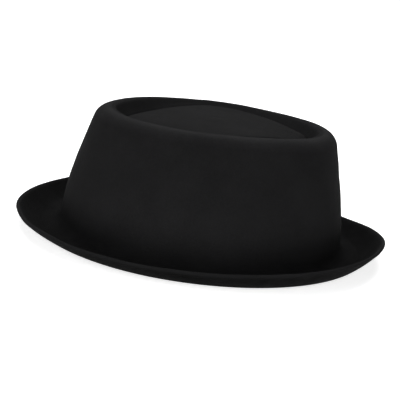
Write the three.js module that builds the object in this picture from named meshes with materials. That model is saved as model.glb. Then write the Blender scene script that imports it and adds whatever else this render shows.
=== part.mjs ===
import * as THREE from "three";

// Porkpie hat in millimetres: crown and brim are blocked from one piece of felt.
// +Z is up, the front looks along -Y, and the origin lies on the resting surface under the middle.

// Felt
const FELT_THICKNESS = 2.4;

// Foot of the crown, over the felt, where it turns out into the brim
const FOOT_LENGTH = 202;
const FOOT_WIDTH = 177;
const FOOT_EGG = 2.8; // the back swells and the front narrows, each side by up to half of this

// Crown: the side leans in and bulges a little, and ends in a round crest
const CROWN_HEIGHT = 87.8; // from the resting surface to the crest
const CROWN_TAPER = 19.9; // how far the side has come in from the foot where it meets the crest
const SIDE_BULGE = 1.4; // power of the side's curve: 1 is straight
const CREST_RADIUS = 10.5;
const CREST_FLAT = 4; // flat top of the crest, between its round outside and the groove

// Brim: a flat belly that the hat rests on, then a curl up to the lip
const BRIM_WIDTH = 30.9; // from the foot to the lip, seen from above
const BRIM_CURL = 12.6; // rise of the lip's underside
const BELLY_SHARE = 0.454; // share of the width that lies flat
const CURL_POWER = 1.41; // power of the curl's curve
const BREAK_RADIUS = 7; // hollow corner between brim and crown

// Tip: a raised pointed panel, with a groove round it that deepens into a pit at both ends
const END_GROOVE = 13.5; // from the crest to the panel's point, front and back
const SIDE_GROOVE = 7; // from the crest to the panel's edge, at the sides
const PANEL_POWER = 1.5; // 2 is an oval and 1 a rhombus
const PANEL_SINK = 6; // from the crest down to the panel's edge
const PIT_DEPTH = 10.5; // from the crest down to the groove's floor
const PANEL_CROWN_DROP = 1; // from the crest's height down to the panel's middle

// Shares of the named sizes, in eighths of a turn from the front round by the wearer's left
const BRIM_ROWS = [
  { place: "front", width: 1.005, curl: 0.97 },
  { place: "front left", width: 1.015, curl: 0.455 },
  { place: "left", width: 1, curl: 1 },
  { place: "back left", width: 1.015, curl: 0.735 },
  { place: "back", width: 1.02, curl: 0.715 },
  { place: "back right", width: 1, curl: 0.79 },
  { place: "right", width: 1.02, curl: 0.965 },
  { place: "front right", width: 1.02, curl: 1.22 },
];
const CROWN_ROWS = [
  { place: "front", taper: 0.665, height: 0.984, flat: 1, sink: 0.95, pit: 1 },
  { place: "front left", taper: 0.82, height: 0.992, flat: 0.8, sink: 0.45, pit: 0.75 },
  { place: "left", taper: 1, height: 1, flat: 0.7, sink: 0.42, pit: 0.26 },
  { place: "back left", taper: 0.91, height: 0.995, flat: 0.8, sink: 0.98, pit: 0.95 },
  { place: "back", taper: 0.765, height: 0.991, flat: 1, sink: 1.2, pit: 1.1 },
  { place: "back right", taper: 0.91, height: 0.99, flat: 0.8, sink: 0.93, pit: 0.95 },
  { place: "right", taper: 1, height: 0.992, flat: 0.7, sink: 0.32, pit: 0.26 },
  { place: "front right", taper: 0.82, height: 0.987, flat: 0.8, sink: 0.42, pit: 0.75 },
];

// Folds of the groove: share of its width in from the crest's flat, and share of the pit's depth
const GROOVE_FOLDS = [
  { fold: "brow", across: 0, down: 0.06 },
  { fold: "wall", across: 0.32, down: 0.75 },
  { fold: "floor", across: 0.6, down: 1 },
];

// Panel between its edge and its middle: share of the way in, and share of the dome's rise
const PANEL_FIELD = { inward: 0.5, rise: 0.75 };

// Steps round the hat, and along each stretch of the skin from the lip to the tip
const TURNS = 64;
const STEPS = { lip: 4, curl: 5, belly: 3, break: 3, side: 7, roll: 4, fold: 2 };

/** Evenly spaced numbers above 0 up to 1. */
const shares = (count) => Array.from({ length: count }, (_, step) => (step + 1) / count);

/** A column of the rows as a smooth function of the turn: the sum of waves that meets every row. */
function roundSeries(rows, column) {
  const count = rows.length;
  const total = (terms) => terms.reduce((sum, term) => sum + term, 0);
  const waves = Array.from({ length: count / 2 + 1 }, (_, wave) => {
    const weight = (wave === 0 || wave === count / 2 ? 1 : 2) / count;
    const angle = (2 * Math.PI * wave) / count;
    const cosine = weight * total(rows.map((row, index) => row[column] * Math.cos(angle * index)));
    const sine = weight * total(rows.map((row, index) => row[column] * Math.sin(angle * index)));
    return (turn) => cosine * Math.cos(wave * turn) + sine * Math.sin(wave * turn);
  });
  return (turn) => total(waves.map((wave) => wave(turn)));
}

const brimShare = {
  width: roundSeries(BRIM_ROWS, "width"),
  curl: roundSeries(BRIM_ROWS, "curl"),
};
const crownShare = {
  taper: roundSeries(CROWN_ROWS, "taper"),
  height: roundSeries(CROWN_ROWS, "height"),
  flat: roundSeries(CROWN_ROWS, "flat"),
  sink: roundSeries(CROWN_ROWS, "sink"),
  pit: roundSeries(CROWN_ROWS, "pit"),
};

/** Point at a distance out from the foot's oval, square to it, and at a height. */
function fromFoot(turn, out, height) {
  const halfWidth = FOOT_WIDTH / 2 - FOOT_EGG * Math.cos(turn);
  const alongX = halfWidth * Math.cos(turn) + FOOT_EGG * Math.sin(turn) ** 2;
  const alongY = (FOOT_LENGTH / 2) * Math.sin(turn);
  const outward = new THREE.Vector2(alongY, -alongX).normalize().multiplyScalar(out);
  const x = halfWidth * Math.sin(turn) + outward.x;
  const y = (-FOOT_LENGTH / 2) * Math.cos(turn) + outward.y;
  return new THREE.Vector3(x, y, height);
}

/** Height of the crest above the resting surface. */
const crestHeight = (turn) => CROWN_HEIGHT * crownShare.height(turn);

/** Place of the crest's roll: how far out from the foot its middle line stands. */
const crestOut = (turn) => -CROWN_TAPER * crownShare.taper(turn) - CREST_RADIUS;

const panelHalfLength = fromFoot(0, crestOut(0), 0).length() - END_GROOVE;
const panelHalfWidth = fromFoot(Math.PI / 2, crestOut(Math.PI / 2), 0).length() - SIDE_GROOVE;

/** Brim's upper skin from the lip in to the break: the underside's curve, raised by the felt. */
function brimLine(turn) {
  const width = BRIM_WIDTH * brimShare.width(turn);
  const belly = BELLY_SHARE * width;
  const rise = BRIM_CURL * brimShare.curl(turn);
  const curl = [0, ...shares(STEPS.curl)].map((inward) => {
    const share = 1 - inward;
    const slope = (CURL_POWER * rise * share ** (CURL_POWER - 1)) / (width - belly);
    const tilt = Math.atan(slope);
    const out = THREE.MathUtils.lerp(belly, width, share) - FELT_THICKNESS * Math.sin(tilt);
    return fromFoot(turn, out, rise * share ** CURL_POWER + FELT_THICKNESS * Math.cos(tilt));
  });
  const flat = shares(STEPS.belly).map((share) => {
    return fromFoot(turn, THREE.MathUtils.lerp(belly, BREAK_RADIUS, share), FELT_THICKNESS);
  });
  return [...curl, ...flat];
}

/** Crown's outer skin from the break up the side and over the roll to the crest. */
function crownLine(turn) {
  const footHeight = FELT_THICKNESS + BREAK_RADIUS;
  const rollHeight = crestHeight(turn) - CREST_RADIUS;
  const taper = CROWN_TAPER * crownShare.taper(turn);
  const lean = Math.atan2(SIDE_BULGE * taper, rollHeight - footHeight);
  const sideOut = crestOut(turn) + CREST_RADIUS * Math.cos(lean);
  const sideTop = rollHeight + CREST_RADIUS * Math.sin(lean);
  const corner = shares(STEPS.break).map((share) => {
    const angle = (share * Math.PI) / 2;
    const out = BREAK_RADIUS * (1 - Math.sin(angle));
    return fromFoot(turn, out, footHeight - BREAK_RADIUS * Math.cos(angle));
  });
  const side = shares(STEPS.side).map((share) => {
    return fromFoot(turn, sideOut * share ** SIDE_BULGE, THREE.MathUtils.lerp(footHeight, sideTop, share));
  });
  const roll = shares(STEPS.roll).map((share) => {
    const angle = THREE.MathUtils.lerp(lean, Math.PI / 2, share);
    const out = crestOut(turn) + CREST_RADIUS * Math.cos(angle);
    return fromFoot(turn, out, rollHeight + CREST_RADIUS * Math.sin(angle));
  });
  return [...corner, ...side, ...roll];
}

/** Height on the curve through the folds: cubic pieces whose slopes never overshoot a fold. */
function heightThrough(folds, place) {
  const rate = (index) => {
    return (folds[index + 1].height - folds[index].height) / (folds[index + 1].place - folds[index].place);
  };
  const slope = (index) => {
    if (index === 0 || index === folds.length - 1) return 0;
    const [before, after] = [rate(index - 1), rate(index)];
    return before * after > 0 ? (2 * before * after) / (before + after) : 0;
  };
  const piece = Math.max(0, folds.findIndex((fold) => fold.place >= place) - 1);
  const length = folds[piece + 1].place - folds[piece].place;
  const t = (place - folds[piece].place) / length;
  const rise = folds[piece + 1].height - folds[piece].height;
  const easing = t * t * (3 - 2 * t);
  const start = length * slope(piece) * t * (1 - t) ** 2;
  const end = length * slope(piece + 1) * t * t * (1 - t);
  return folds[piece].height + rise * easing + start - end;
}

/** Tip's upper skin along a ray from the crest to the panel's middle, without the middle itself. */
function tipLine(turn) {
  const crest = fromFoot(turn, crestOut(turn), 0);
  const lengthReach = Math.abs(crest.y / panelHalfLength) ** PANEL_POWER;
  const widthReach = Math.abs(crest.x / panelHalfWidth) ** PANEL_POWER;
  const edgeShare = (lengthReach + widthReach) ** (-1 / PANEL_POWER);
  const groove = crest.length() * (1 - edgeShare);
  const panel = crest.length() * edgeShare;
  const top = crestHeight(turn);
  const edgeHeight = top - PANEL_SINK * crownShare.sink(turn);
  const middleHeight = CROWN_HEIGHT - PANEL_CROWN_DROP;
  const pit = PIT_DEPTH * crownShare.pit(turn);
  const flat = CREST_FLAT * crownShare.flat(turn);
  const grooveFolds = GROOVE_FOLDS.map((row) => {
    return { place: THREE.MathUtils.lerp(flat, groove, row.across), height: top - row.down * pit };
  });
  const fieldHeight = THREE.MathUtils.lerp(edgeHeight, middleHeight, PANEL_FIELD.rise);
  const folds = [
    { place: 0, height: top },
    ...grooveFolds,
    { place: groove, height: edgeHeight },
    { place: groove + PANEL_FIELD.inward * panel, height: fieldHeight },
    { place: groove + panel, height: middleHeight },
  ];
  const places = folds.slice(1).flatMap((fold, index) => {
    return shares(STEPS.fold).map((share) => THREE.MathUtils.lerp(folds[index].place, fold.place, share));
  });
  return places.slice(0, -1).map((place) => {
    const point = crest.clone().multiplyScalar(1 - place / (groove + panel));
    return point.setZ(heightThrough(folds, place));
  });
}

/** Upper skin as lines from the lip to the tip, one for each turn. */
const upperLines = Array.from({ length: TURNS }, (_, index) => {
  const turn = (2 * Math.PI * index) / TURNS;
  return [...brimLine(turn), ...crownLine(turn), ...tipLine(turn)];
});
const ringCount = upperLines[0].length;
const crestRing = ringCount - tipLine(0).length;

/** Direction along the line towards the tip, and the skin's outward direction, at one of its points. */
function directions(turnIndex, ring) {
  const line = upperLines[turnIndex];
  const along = line[Math.min(ring + 1, ringCount - 1)].clone().sub(line[Math.max(ring - 1, 0)]).normalize();
  const next = upperLines[(turnIndex + 1) % TURNS][ring];
  const before = upperLines[(turnIndex + TURNS - 1) % TURNS][ring];
  const outward = next.clone().sub(before).cross(along).normalize();
  return { along, outward };
}

/** Way down through the felt to the inner skin: square to the outer skin, but under the tip's bends it
 * leans only half as far, so that the inner skin doesn't fold over. */
function wayThrough(turnIndex, ring) {
  const { outward } = directions(turnIndex, ring);
  const straight = ring < crestRing ? outward : outward.add(new THREE.Vector3(0, 0, 1)).normalize();
  return straight.negate();
}

/** One closed ring of points, from a function of the turn's index. */
const ringOf = (point) => Array.from({ length: TURNS }, (_, turnIndex) => point(turnIndex));

/** Rings of the whole skin: from the tip down to the lip, round the lip, and back up inside. */
function feltRings() {
  const upper = upperLines[0].map((_, ring) => ringOf((turnIndex) => upperLines[turnIndex][ring]));
  const under = upper.map((points, ring) => {
    return ringOf((turnIndex) => {
      return points[turnIndex].clone().addScaledVector(wayThrough(turnIndex, ring), FELT_THICKNESS);
    });
  });
  const lip = shares(STEPS.lip).slice(0, -1).map((share) => {
    return ringOf((turnIndex) => {
      const { along, outward } = directions(turnIndex, 0);
      const middle = upper[0][turnIndex].clone().lerp(under[0][turnIndex], 0.5);
      middle.addScaledVector(outward, (FELT_THICKNESS / 2) * Math.cos(Math.PI * share));
      return middle.addScaledVector(along, (-FELT_THICKNESS / 2) * Math.sin(Math.PI * share));
    });
  });
  return [...upper.reverse(), ...lip, ...under];
}

/** Closed skin over the rings, with a fan of triangles to a middle point at each end. */
function skinGeometry(rings, firstMiddle, lastMiddle) {
  const positions = [...rings.flat(), firstMiddle, lastMiddle].flatMap((point) => point.toArray());
  const first = rings.length * TURNS;
  const last = first + 1;
  const indices = [];
  for (let turnIndex = 0; turnIndex < TURNS; turnIndex += 1) {
    const next = (turnIndex + 1) % TURNS;
    indices.push(first, turnIndex, next);
    for (let ring = 0; ring < rings.length - 1; ring += 1) {
      const [a, b] = [ring * TURNS + turnIndex, ring * TURNS + next];
      const [c, d] = [b + TURNS, a + TURNS];
      indices.push(a, d, c, a, c, b);
    }
    const end = (rings.length - 1) * TURNS;
    indices.push(last, end + next, end + turnIndex);
  }
  const geometry = new THREE.BufferGeometry();
  geometry.setAttribute("position", new THREE.Float32BufferAttribute(positions, 3));
  geometry.setIndex(indices);
  geometry.computeVertexNormals();
  return geometry;
}

// Hat felt: crown, tip and brim in one
const middleTop = new THREE.Vector3(0, 0, CROWN_HEIGHT - PANEL_CROWN_DROP);
const middleUnder = new THREE.Vector3(0, 0, middleTop.z - FELT_THICKNESS);
const feltMaterial = new THREE.MeshStandardMaterial({ color: 0x161617, roughness: 0.95, metalness: 0 });
const hatFelt = new THREE.Mesh(skinGeometry(feltRings(), middleTop, middleUnder), feltMaterial);
hatFelt.name = "hat_felt";

const hat = new THREE.Group();
hat.add(hatFelt);

export default hat;
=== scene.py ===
from math import cos, pi, radians, sin

import bpy
import numpy as np
from mathutils import Matrix, Vector


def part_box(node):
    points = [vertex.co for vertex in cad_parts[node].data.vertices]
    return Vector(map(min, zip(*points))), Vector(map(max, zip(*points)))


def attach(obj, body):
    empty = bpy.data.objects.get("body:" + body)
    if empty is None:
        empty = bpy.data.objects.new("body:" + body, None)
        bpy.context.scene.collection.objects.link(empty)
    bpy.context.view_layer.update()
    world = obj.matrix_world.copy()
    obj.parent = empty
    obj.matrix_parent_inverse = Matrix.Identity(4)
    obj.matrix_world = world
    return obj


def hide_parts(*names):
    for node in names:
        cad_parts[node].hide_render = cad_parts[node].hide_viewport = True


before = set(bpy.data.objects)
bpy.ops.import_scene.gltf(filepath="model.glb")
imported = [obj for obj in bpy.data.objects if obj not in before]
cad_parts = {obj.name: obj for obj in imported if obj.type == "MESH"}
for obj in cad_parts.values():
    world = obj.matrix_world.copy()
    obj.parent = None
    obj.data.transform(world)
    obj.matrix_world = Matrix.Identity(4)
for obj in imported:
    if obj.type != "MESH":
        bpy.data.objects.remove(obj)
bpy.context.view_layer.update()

# Hat body
# A hood of black felt, steamed and pulled over a block, so that crown, tip and brim are one piece.
# The tip is pressed down inside the crest round a pointed panel, and the brim is curled up all round.

MM = 0.001
low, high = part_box("hat_felt")

# Brim: its width out from the crown's foot, how high its lip curls, and the share of the width that lies flat
FELT_THICKNESS = 2.4 * MM
BRIM_WIDTH = 30.9 * MM
BRIM_CURL = 12.6 * MM
BELLY_SHARE = 0.454
CURL_POWER = 1.41
BREAK_RADIUS = 7 * MM

# Crown: the oval of its foot, which is wider behind, how far its side leans in, and the roll of its crest
FOOT_LENGTH = 202 * MM
FOOT_WIDTH = 177 * MM
FOOT_EGG = 2.8 * MM
CROWN_HEIGHT = high.z - low.z
CROWN_TAPER = 19.9 * MM
SIDE_BULGE = 1.4
CREST_RADIUS = 10.5 * MM
CREST_FLAT = 4 * MM

# Tip: the groove's width at the ends and sides, the panel's edge below the crest, and the groove's depth
END_GROOVE = 13.5 * MM
SIDE_GROOVE = 7 * MM
PANEL_POWER = 1.5
PANEL_SINK = 6 * MM
PIT_DEPTH = 10.5 * MM
PANEL_CROWN_DROP = 1 * MM

# Shares of those sizes in eighths of a turn, from the front round by the wearer's left
ROUND_ROWS = {
    #         front  front left  left  back left  back  back right  right  front right
    "brim": [1.005, 1.015, 1.0, 1.015, 1.02, 1.0, 1.02, 1.02],
    "curl": [0.97, 0.455, 1.0, 0.735, 0.715, 0.79, 0.965, 1.22],
    "taper": [0.665, 0.82, 1.0, 0.91, 0.765, 0.91, 1.0, 0.82],
    "height": [0.984, 0.992, 1.0, 0.995, 0.991, 0.99, 0.992, 0.987],
    "flat": [1.0, 0.8, 0.7, 0.8, 1.0, 0.8, 0.7, 0.8],
    "sink": [0.95, 0.45, 0.42, 0.98, 1.2, 0.93, 0.32, 0.42],
    "pit": [1.0, 0.75, 0.26, 0.95, 1.1, 0.95, 0.26, 0.75],
}

# Folds of the groove: share of its width in from the crest's flat, share of the pit's depth
GROOVE_FOLDS = {"brow": (0, 0.06), "wall": (0.32, 0.75), "floor": (0.6, 1)}
PANEL_FIELD = {"inward": 0.5, "rise": 0.75}

# Painted light and shade of the felt along the skin, from the lip's underside round the lip and in to the
# tip's middle: painted highlights on the lip, the crest's roll, the groove's wall and the panel, and painted
# shade in the curl, the belly, the crown's foot and the groove's floor. Nought is plain felt and -1 is black.
PAINTED_SHADING_ROWS = [
    # stretch or fold, share of the way along it, painted shading
    ("lip", 0.0, -0.65),
    ("lip", 0.35, -0.2),
    ("lip", 0.75, 0.08),
    ("lip", 1.0, 0.24),
    ("curl", 0.06, -0.33),
    ("curl", 0.15, -0.62),
    ("curl", 1.0, -0.69),
    ("belly", 0.6, -0.6),
    ("corner", 0.2, -0.55),
    ("corner", 0.8, -0.46),
    ("side", 0.08, -0.16),
    ("side", 0.25, 0.02),
    ("side", 0.5, -0.1),
    ("side", 1.0, -0.22),
    ("roll", 0.5, 0.15),
    ("roll", 0.85, 0.74),
    ("roll", 1.0, 0.66),
    ("brow", 0.5, -0.05),
    ("brow", 1.0, 0.06),
    ("wall", 1.0, 0.28),
    ("floor", 0.5, -0.2),
    ("floor", 1.0, -0.49),
    ("panel edge", 1.0, 0.02),
    ("field", 1.0, 0.15),
    ("middle", 1.0, 0.17),
]
# Painted shade over the inner skin, under the brim and inside the crown and tip
UNDERSIDE_PAINTED_SHADE = -0.85

# Unevenness of felt blocked by hand, which sets in above the flat belly over a short rise
WAVER_ROWS = [
    # depth, wavelength, seed of its draw
    (0.9 * MM, 60 * MM, 3),
    (0.25 * MM, 14 * MM, 4),
]
WAVER_ONSET = 6 * MM
WAVES = 9

# Steps of the skin round the hat, along each stretch and between two folds, and how often the inner
# skin's rows under the tip are averaged with their neighbours
TURNS = 320
STEPS = {"lip": 8, "curl": 14, "belly": 5, "corner": 6, "side": 26, "roll": 10, "fold": 6}
EASINGS = 6


def round_share(column, turn):
    """A column of the rows at each turn: the sum of waves, from one mean up to four round the hat,
    that meets all eight rows."""
    rows = np.array(ROUND_ROWS[column])
    waves = np.fft.rfft(rows) / len(rows)
    weights = np.full(len(waves), 2.0)
    weights[[0, -1]] = 1.0
    order = np.arange(len(waves))
    return (weights * waves * np.exp(1j * np.multiply.outer(turn, order))).real.sum(axis=-1)


def from_foot(turn, out, height):
    """Points at a distance out from the crown's foot, square to it, and at a height.
    The foot is an oval, x = (half width - egg cos t) sin t, y = -half length cos t."""
    half_width = FOOT_WIDTH / 2 - FOOT_EGG * np.cos(turn)
    along_x = half_width * np.cos(turn) + FOOT_EGG * np.sin(turn) ** 2
    along_y = FOOT_LENGTH / 2 * np.sin(turn)
    length = np.hypot(along_x, along_y)
    x = half_width * np.sin(turn) + out * along_y / length
    y = -FOOT_LENGTH / 2 * np.cos(turn) - out * along_x / length
    return np.stack(np.broadcast_arrays(x, y, height), axis=-1)


def shares(count):
    """Even steps above 0 up to 1, as a column that spreads over the turns."""
    return (np.arange(count) + 1)[:, None] / count


def brim_skin(turn):
    """Upper skin from the lip in to the break: the underside rises from the flat belly with a power of
    the way out, and the upper skin lies square above it by the felt's thickness."""
    width = BRIM_WIDTH * round_share("brim", turn)
    belly = BELLY_SHARE * width
    rise = BRIM_CURL * round_share("curl", turn)
    share = 1 - np.concatenate([[[0]], shares(STEPS["curl"])])
    tilt = np.arctan(CURL_POWER * rise * share ** (CURL_POWER - 1) / (width - belly))
    out = belly + (width - belly) * share - FELT_THICKNESS * np.sin(tilt)
    curl = from_foot(turn, out, rise * share**CURL_POWER + FELT_THICKNESS * np.cos(tilt))
    flat_out = belly + (BREAK_RADIUS - belly) * shares(STEPS["belly"])
    return np.concatenate([curl, from_foot(turn, flat_out, FELT_THICKNESS)])


def crest_out(turn):
    """How far out from the foot the crest's middle line stands; it is inside the foot, so below zero."""
    return -CROWN_TAPER * round_share("taper", turn) - CREST_RADIUS


def crown_skin(turn):
    """Outer skin from the break to the crest: a hollow quarter circle, a side that leans in with a power
    of its height, and a round roll that starts at the side's lean."""
    foot_height = FELT_THICKNESS + BREAK_RADIUS
    roll_height = CROWN_HEIGHT * round_share("height", turn) - CREST_RADIUS
    lean = np.arctan2(SIDE_BULGE * CROWN_TAPER * round_share("taper", turn), roll_height - foot_height)
    side_out = crest_out(turn) + CREST_RADIUS * np.cos(lean)
    side_top = roll_height + CREST_RADIUS * np.sin(lean)
    angle = shares(STEPS["corner"]) * pi / 2
    corner = from_foot(turn, BREAK_RADIUS * (1 - np.sin(angle)), foot_height - BREAK_RADIUS * np.cos(angle))
    share = shares(STEPS["side"])
    side = from_foot(turn, side_out * share**SIDE_BULGE, foot_height + (side_top - foot_height) * share)
    angle = lean + (pi / 2 - lean) * shares(STEPS["roll"])
    roll_out = crest_out(turn) + CREST_RADIUS * np.cos(angle)
    roll = from_foot(turn, roll_out, roll_height + CREST_RADIUS * np.sin(angle))
    return np.concatenate([corner, side, roll])


def tip_skin(turn):
    """Upper skin along rays from the crest to the tip's middle. The panel's edge is a curve
    |x / half width|^p + |y / half length|^p = 1, and heights run through the folds in cubic pieces
    whose slope at each fold is the harmonic mean of its neighbours', or nought at a crest or floor."""
    crest = from_foot(turn, crest_out(turn), 0)
    ends = from_foot(np.array([0, pi / 2]), crest_out(np.array([0, pi / 2])), 0)
    half_length = -ends[0, 1] - END_GROOVE
    half_width = ends[1, 0] - SIDE_GROOVE
    reach = np.abs(crest[:, 0] / half_width) ** PANEL_POWER + np.abs(crest[:, 1] / half_length) ** PANEL_POWER
    radius = np.hypot(crest[:, 0], crest[:, 1])
    panel = radius * reach ** (-1 / PANEL_POWER)
    groove = radius - panel
    top = CROWN_HEIGHT * round_share("height", turn)
    edge_height = top - PANEL_SINK * round_share("sink", turn)
    middle_height = np.full_like(turn, CROWN_HEIGHT - PANEL_CROWN_DROP)
    pit = PIT_DEPTH * round_share("pit", turn)
    flat = CREST_FLAT * round_share("flat", turn)
    folds = [(np.zeros_like(turn), top)]
    folds += [(flat + (groove - flat) * across, top - pit * down) for across, down in GROOVE_FOLDS.values()]
    field_height = edge_height + (middle_height - edge_height) * PANEL_FIELD["rise"]
    folds += [
        (groove, edge_height),
        (groove + panel * PANEL_FIELD["inward"], field_height),
        (radius, middle_height),
    ]
    place, height = (np.array(values) for values in zip(*folds))
    rate = np.diff(height, axis=0) / np.diff(place, axis=0)
    before, after = rate[:-1], rate[1:]
    total = np.where(before * after > 0, before + after, 1)
    slope = np.zeros_like(height)
    slope[1:-1] = np.where(before * after > 0, 2 * before * after / total, 0)
    step = shares(STEPS["fold"])[None]
    start, end, length = place[:-1, None], place[1:, None], np.diff(place, axis=0)[:, None]
    rise = np.diff(height, axis=0)[:, None]
    leave = length * slope[:-1, None] * step * (1 - step) ** 2
    arrive = length * slope[1:, None] * step**2 * (1 - step)
    heights = height[:-1, None] + rise * step**2 * (3 - 2 * step) + leave - arrive
    inward = ((start + (end - start) * step) / radius).reshape(-1, len(turn))[:-1]
    points = crest[None] * (1 - inward[..., None])
    points[..., 2] = heights.reshape(-1, len(turn))[:-1]
    return points


def skin_directions(skin):
    """Direction towards the tip and outward normal at each point, from the neighbouring points."""
    along = np.gradient(skin, axis=0)
    around = np.roll(skin, -1, axis=1) - np.roll(skin, 1, axis=1)
    outward = np.cross(around, along)
    along /= np.linalg.norm(along, axis=-1, keepdims=True)
    outward /= np.linalg.norm(outward, axis=-1, keepdims=True)
    return along, outward


def waver(points, depth, wavelength, seed):
    """A small rise and fall over space: the mean of sine waves in scattered directions, each 0.7 to 1.5
    of the wavelength long."""
    draw = np.random.default_rng(seed)
    directions = draw.normal(size=(WAVES, 3))
    directions /= np.linalg.norm(directions, axis=1, keepdims=True)
    rates = 2 * pi / (wavelength * draw.uniform(0.7, 1.5, WAVES))
    phases = draw.uniform(0, 2 * pi, WAVES)
    return depth * np.sin(points @ (directions.T * rates) + phases).mean(axis=-1)[..., None]


def felt_rings():
    """The whole skin as closed rings: down the upper skin to the lip, round the lip, and up inside.
    The inner skin lies square under the outer one, but under the tip's bends it is set off half-way
    between square and straight down, and its rows are averaged with their neighbours, so that it
    doesn't fold over."""
    turn = np.arange(TURNS) / TURNS * 2 * pi
    tip = tip_skin(turn)
    upper = np.concatenate([brim_skin(turn), crown_skin(turn), tip])
    along, outward = skin_directions(upper)
    unevenness = sum(waver(upper, *row) for row in WAVER_ROWS)
    rise_above_rest = np.clip((upper[..., 2:] - FELT_THICKNESS) / WAVER_ONSET, 0, 1)
    upper = upper + outward * unevenness * rise_above_rest
    way_through = outward.copy()
    way_through[-len(tip) :] += [0, 0, 1]
    way_through /= np.linalg.norm(way_through, axis=-1, keepdims=True)
    under = upper - way_through * FELT_THICKNESS
    first = len(upper) - len(tip)
    for _ in range(EASINGS):
        under[first:-1] = (under[first - 1 : -2] + 2 * under[first:-1] + under[first + 1 :]) / 4
    angle = (shares(STEPS["lip"])[:-1] * pi)[..., None]
    middle = (upper[0] + under[0]) / 2
    lip = middle + FELT_THICKNESS / 2 * (outward[0] * np.cos(angle) - along[0] * np.sin(angle))
    return np.concatenate([upper[::-1], lip, under])


def closed_mesh(name, rings, first_middle, last_middle):
    """A closed skin over rings of points, with a fan of triangles to a middle point at each end."""
    count, turns = rings.shape[:2]
    vertices = np.concatenate([rings.reshape(-1, 3), [first_middle, last_middle]])
    index = np.arange(count * turns).reshape(count, turns)
    after = np.roll(index, -1, axis=1)
    quads = np.stack([index[:-1], index[1:], after[1:], after[:-1]], axis=-1).reshape(-1, 4)
    first, last = count * turns, count * turns + 1
    opening = np.stack([np.full(turns, first), index[0], after[0]], axis=-1)
    closing = np.stack([np.full(turns, last), after[-1], index[-1]], axis=-1)
    mesh = bpy.data.meshes.new(name)
    mesh.from_pydata(vertices.tolist(), [], quads.tolist() + opening.tolist() + closing.tolist())
    mesh.shade_smooth()
    return mesh


def painted_shading_of_rows():
    """Painted light and shade of each row of the skin: straight from one place in the table to the next from
    the tip down to the lip's underside, and one plain painted shade over the rest of the underside."""
    names = list(dict.fromkeys(name for name, _, _ in PAINTED_SHADING_ROWS))
    counts = [STEPS.get(name, STEPS["fold"]) for name in names]
    starts = dict(zip(names, np.cumsum([0] + counts)))
    places = [starts[name] + share * STEPS.get(name, STEPS["fold"]) for name, share, _ in PAINTED_SHADING_ROWS]
    skin = np.interp(np.arange(sum(counts)), places, [painted_shading for _, _, painted_shading in PAINTED_SHADING_ROWS])
    return np.concatenate([skin[::-1], np.full(sum(counts[1:]) - 1, UNDERSIDE_PAINTED_SHADE)])


middle_top = [0, 0, CROWN_HEIGHT - PANEL_CROWN_DROP]
middle_under = [0, 0, CROWN_HEIGHT - PANEL_CROWN_DROP - FELT_THICKNESS]
rings = felt_rings()
hat_body = bpy.data.objects.new("hat_body", closed_mesh("hat_body", rings, middle_top, middle_under))
bpy.context.scene.collection.objects.link(hat_body)
# Painted light and shade, one value a point, which the felt's colour reads
painted_shading = np.repeat(painted_shading_of_rows(), TURNS)
painted_shading = np.append(painted_shading, [PAINTED_SHADING_ROWS[-1][2], UNDERSIDE_PAINTED_SHADE]).astype(np.float32)
hat_body.data.attributes.new("painted_shading", "FLOAT", "POINT").data.foreach_set("value", painted_shading)


class Wire:
    """A shader socket that works in Python arithmetic: each operator adds a Math node."""

    def __init__(self, finish, socket):
        self.finish = finish
        self.socket = socket

    def math(self, operation, first, second):
        return self.finish.add("ShaderNodeMath", {"operation": operation}, {0: first, 1: second}, "Value")

    def __add__(self, other):
        return self.math("ADD", self, other)

    def __mul__(self, other):
        return self.math("MULTIPLY", self, other)

    __radd__ = __add__
    __rmul__ = __mul__


class Finish:
    """A material whose nodes all come from one method, add."""

    def __init__(self, name):
        self.material = bpy.data.materials.new(name)
        self.material.use_nodes = True
        self.tree = self.material.node_tree
        self.tree.nodes.clear()

    def add(self, kind, settings, inputs, output=None):
        """Adds a node, sets it, fills or links its sockets, and returns a wire from the named output."""
        node = self.tree.nodes.new(kind)
        for name, value in settings.items():
            setattr(node, name, value)
        for name, value in inputs.items():
            if isinstance(value, Wire):
                self.tree.links.new(value.socket, node.inputs[name])
            else:
                node.inputs[name].default_value = value
        if output is not None:
            return Wire(self, node.outputs[output])

    def noise(self, place, size, detail, roughness=0.5, swirl=0):
        """Cloudy noise whose patches are about the given size across, drawn out into hairs by a swirl."""
        inputs = {"Vector": place, "Scale": 1 / size, "Detail": detail}
        inputs |= {"Roughness": roughness, "Distortion": swirl}
        return self.add("ShaderNodeTexNoise", {}, inputs, "Fac")

    def blend(self, share, first, second):
        """A colour between two colours; of the node's sockets, 6 and 7 take colours and 2 gives one."""
        return self.add("ShaderNodeMix", {"data_type": "RGBA"}, {0: share, 6: first, 7: second}, 2)


# Colours of the blackest felt, which painted shade reaches, and of the palest, which painted highlights
# reach, the plain felt's share between them, the sizes of the patches in its shade, and the depth of its nap
BLACK = (0, 0, 0, 1)
FELT_PALEST = (0.0225, 0.0225, 0.0232, 1)
PLAIN_SHADE = 0.52
CLOUD_SIZE = 30 * MM
SHADING_PATCH_SIZE = 9 * MM
FLECK_SIZE = 1.2 * MM
FIBRE_SIZE = 0.8 * MM
NAP_DEPTH = 0.4 * MM


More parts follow.
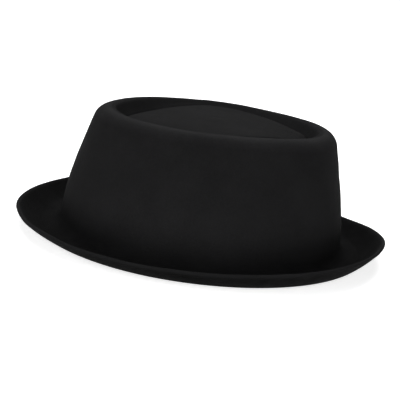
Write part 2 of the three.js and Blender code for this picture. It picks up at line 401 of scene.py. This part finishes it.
def felt_finish():
    """Black pressed felt: a cloudy, flecked shade that painted light and shade lighten or darken in uneven
    patches, fine fibres in shade and bump, and a soft sheen where the nap is seen edge-on."""
    felt = Finish("black_felt")
    place = felt.add("ShaderNodeTexCoord", {}, {}, "Object")
    clouds = felt.noise(place, CLOUD_SIZE, 3)
    flecks = felt.noise(place, FLECK_SIZE, 4, 0.6)
    fibres = felt.noise(place, FIBRE_SIZE, 4, 0.75, 2.5)
    painted_shading = felt.add("ShaderNodeAttribute", {"attribute_name": "painted_shading"}, {}, "Fac")
    shading_patches = felt.noise(place, SHADING_PATCH_SIZE, 2)
    mottle = clouds * 0.5 + flecks * 0.4 + fibres * 1.1
    # Painted light and shade: the colour is lightened into painted highlights and darkened into painted
    # shade, unevenly in patches
    shade = (1 + painted_shading * (0.75 + shading_patches * 0.5)) * mottle * PLAIN_SHADE
    relief = {"Strength": 0.8, "Distance": NAP_DEPTH, "Height": flecks * 0.4 + fibres * 0.6}
    inputs = {
        "Base Color": felt.blend(shade, BLACK, FELT_PALEST),
        "Roughness": 0.8 + flecks * 0.2,
        "Specular IOR Level": 0.02,
        "Sheen Weight": 0.008,
        "Sheen Roughness": 0.3,
        "Normal": felt.add("ShaderNodeBump", {}, relief, "Normal"),
    }
    skin = felt.add("ShaderNodeBsdfPrincipled", {}, inputs, "BSDF")
    felt.add("ShaderNodeOutputMaterial", {}, {"Surface": skin})
    return felt.material


hat_body.data.materials.append(felt_finish())
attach(hat_body, "root")
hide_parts("hat_felt")

# Floor
# A plain white light table, far wider than the hat, on which the brim's flat belly rests. Its glow
# takes nearly all of the shadow away, as the photograph's white ground shows none.

FLOOR_HALF = 3.0
FLOOR_WHITE = (0.9, 0.9, 0.9, 1)
FLOOR_GREYER = (0.88, 0.88, 0.88, 1)
FLOOR_GLOW = 0.7


def floor_finish():
    """Matt white, with a barely uneven tone, lit from within so that the hat's shadow stays faint."""
    paint = Finish("white_floor")
    place = paint.add("ShaderNodeTexCoord", {}, {}, "Object")
    inputs = {
        "Base Color": paint.blend(paint.noise(place, 0.4, 2), FLOOR_GREYER, FLOOR_WHITE),
        "Roughness": 0.9,
        "Emission Color": (1, 1, 1, 1),
        "Emission Strength": FLOOR_GLOW,
    }
    skin = paint.add("ShaderNodeBsdfPrincipled", {}, inputs, "BSDF")
    paint.add("ShaderNodeOutputMaterial", {}, {"Surface": skin})
    return paint.material


floor_mesh = bpy.data.meshes.new("floor")
corners = np.array([[-1, -1, 0], [1, -1, 0], [1, 1, 0], [-1, 1, 0]]) * FLOOR_HALF
floor_mesh.from_pydata((corners + [0, 0, low.z]).tolist(), [], [[0, 1, 2, 3]])
floor = bpy.data.objects.new("floor", floor_mesh)
floor.data.materials.append(floor_finish())
bpy.context.scene.collection.objects.link(floor)

# Studio light
# Three broad soft lamps: one high beyond the hat, which lights its tip and the crest's edge, and one low
# at each side of the camera for the near side. The walls are plain white to the camera and give no light.

LAMP_ROWS = {
    # azimuth and elevation of the lamp and breadth of its disc, in degrees, light in watts per square metre
    "back_lamp": (88, 54, 50, 2.7),
    "left_front_lamp": (-142, 25, 50, 1.75),
    "right_front_lamp": (-58, 25, 50, 1.3),
}

scene = bpy.context.scene
scene.view_settings.view_transform = "Standard"
scene.world = bpy.data.worlds.new("studio")
scene.world.use_nodes = True
walls = scene.world.node_tree.nodes["Background"]
walls.inputs["Color"].default_value = (1, 1, 1, 1)
ray = scene.world.node_tree.nodes.new("ShaderNodeLightPath")
scene.world.node_tree.links.new(ray.outputs["Is Camera Ray"], walls.inputs["Strength"])


def direction(azimuth, elevation):
    """The unit vector to a place round the hat: azimuth 0 is its front and 90 its left."""
    return Vector((sin(azimuth) * cos(elevation), -cos(azimuth) * cos(elevation), sin(elevation)))


for lamp_name, (azimuth, elevation, breadth, light) in LAMP_ROWS.items():
    lamp = bpy.data.lights.new(lamp_name, "SUN")
    lamp.angle = radians(breadth)
    lamp.energy = light
    holder = bpy.data.objects.new(lamp_name, lamp)
    holder.rotation_euler = direction(radians(azimuth), radians(elevation)).to_track_quat("Z", "Y").to_euler()
    scene.collection.objects.link(holder)

# Camera
# The photograph looks down a little on the hat's right side, from slightly behind it, with the
# picture rolled clockwise.

CAMERA_AIM = Vector((0, 3.9 * MM, 25.9 * MM))
CAMERA_DISTANCE = 0.739
CAMERA_AZIMUTH = radians(-98.83)
CAMERA_ELEVATION = radians(15.6)
CAMERA_ROLL = radians(7.98)
CAMERA_LENS = 92.8
CAMERA_SENSOR = 36

backward = direction(CAMERA_AZIMUTH, CAMERA_ELEVATION)
camera = bpy.data.objects.new("camera", bpy.data.cameras.new("camera"))
camera.data.lens = CAMERA_LENS
camera.data.sensor_width = CAMERA_SENSOR
unrolled = backward.to_track_quat("Z", "Y").to_matrix()
camera.rotation_euler = (unrolled @ Matrix.Rotation(CAMERA_ROLL, 3, "Z")).to_euler()
camera.location = CAMERA_AIM + backward * CAMERA_DISTANCE
scene.collection.objects.link(camera)
scene.camera = camera
